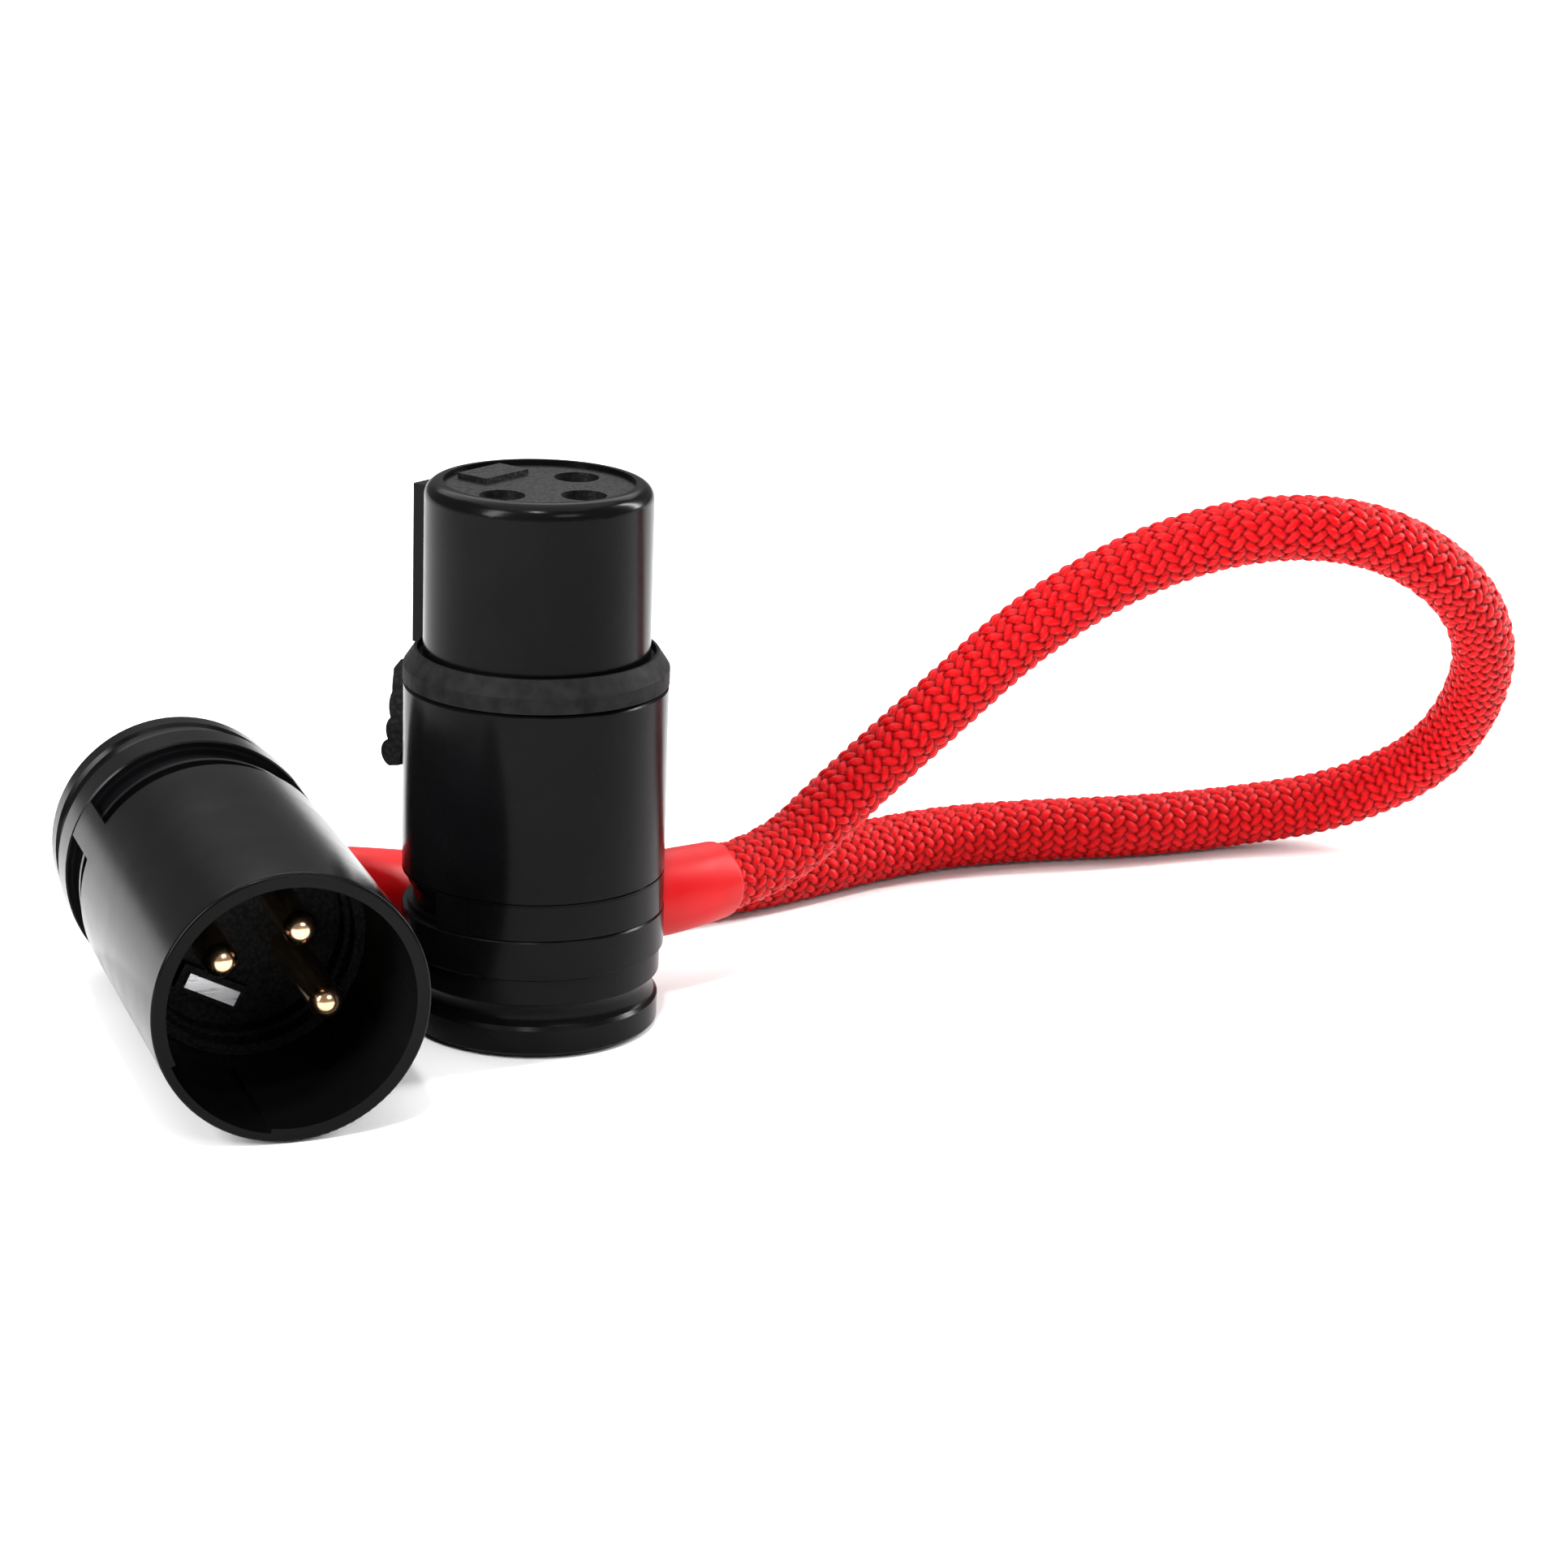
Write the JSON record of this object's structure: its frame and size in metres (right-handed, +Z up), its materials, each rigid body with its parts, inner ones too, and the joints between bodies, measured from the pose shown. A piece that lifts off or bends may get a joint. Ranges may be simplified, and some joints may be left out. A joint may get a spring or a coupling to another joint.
{
  "type": "audio jumper cable",
  "caption": "Short braided audio jumper with an upright right-angle socket connector and a lying right-angle pin connector on swivelling side outlets.",
  "frame": {"origin": "centre of the female end cap's base", "axes": "+Z up the female connector's axis; the male connector lies along Y with its mouth towards -Y; the cord loop runs towards +X"},
  "size_m": [0.1194, 0.0464, 0.04],
  "materials": {
    "black_anodised": "glossy black anodised",
    "black_rubber": "matte rubber",
    "black_moulding": "fine textured moulding",
    "gold_contact": "gold plated",
    "bright_metal": "bright ground",
    "red_heatshrink": "satin heat-shrink",
    "red_braid": "lustrous plaited nylon",
    "lead_jacket": "matte"
  },
  "bodies": {
    "lead": {"cord": "red_braid", "female_boot": "red_heatshrink", "male_boot": "red_heatshrink", "female_end_cap": "black_anodised", "male_end_cap": "black_anodised", "female_outlet_ring": "black_anodised", "male_outlet_ring": "black_anodised", "female_cord_clamp": "bright_metal", "male_cord_clamp": "bright_metal", "female_clamp_screws": "bright_metal", "male_clamp_screws": "bright_metal", "female_leads": "lead_jacket", "male_leads": "lead_jacket"},
    "female_connector": {"female_shell": "black_anodised", "female_notch_cover": "black_anodised", "female_snap_ring": "bright_metal", "female_collar": "black_rubber", "female_nose": "black_anodised", "female_contact_carrier": "black_moulding", "female_contact_1": "gold_contact", "female_contact_2": "gold_contact", "female_contact_3": "gold_contact", "lever_pivot_pin": "bright_metal", "lever_spring": "bright_metal"},
    "release_lever": {"release_lever": "black_moulding"},
    "male_connector": {"male_shell": "black_anodised", "male_snap_ring": "bright_metal", "male_contact_carrier": "black_moulding", "male_pin_1": "gold_contact", "male_pin_2": "gold_contact", "male_pin_3": "gold_contact", "male_ground_tab": "bright_metal", "male_insert_ring": "black_moulding"}
  },
  "joints": [
    {"name": "female_swivel", "type": "hinge", "parent": "lead", "child": "female_connector", "pos_m": [0, 0, 0.0089], "axis": [0, 0, 1], "range_deg": [-58, 3]},
    {"name": "male_swivel", "type": "hinge", "parent": "lead", "child": "male_connector", "pos_m": [-0.02235, 0.0092, 0.0095], "axis": [0, -1, 0], "range_deg": [-13, 46]},
    {"name": "release_press", "type": "hinge", "parent": "female_connector", "child": "release_lever", "pos_m": [-0.00406, 0.00625, 0.0226], "axis": [0.8387, 0.5446, 0], "range_deg": [0, 4], "stiffness_Nm_per_rad": 0.01, "springref_deg": -2.86}
  ]
}
